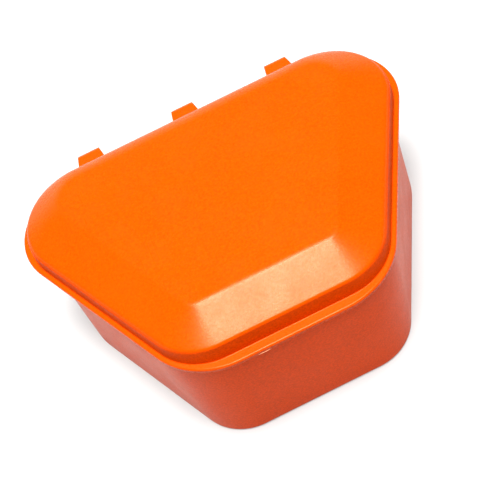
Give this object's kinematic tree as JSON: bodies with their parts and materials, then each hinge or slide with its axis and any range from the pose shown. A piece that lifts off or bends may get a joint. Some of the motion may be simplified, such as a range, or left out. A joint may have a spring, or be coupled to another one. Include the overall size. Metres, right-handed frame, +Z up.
{
  "type": "hinged denture box",
  "caption": "Deep tub with a rounded trapezoid plan and a domed lid that turns on snap hooks at its wide back edge.",
  "frame": {"origin": "on the tub's flat underside, midway between the rim's front and back edges, on the plane of symmetry", "axes": "+X to the right along the wide back edge, +Y from the narrow front to the hinge, +Z up through the lid"},
  "size_m": [0.0928, 0.0712, 0.039],
  "materials": {
    "tub_plastic": "satin moulded polypropylene with a very fine grain",
    "lid_plastic": "satin moulded polypropylene with a very fine grain"
  },
  "bodies": {
    "tub": {"tub": "tub_plastic"},
    "lid": {"hinged_lid": "lid_plastic"}
  },
  "joints": [
    {"name": "lid_hinge", "type": "hinge", "parent": "tub", "child": "lid", "pos_m": [0, 0.0358, 0.027], "axis": [-1, 0, 0], "range_deg": [0, 180]}
  ]
}
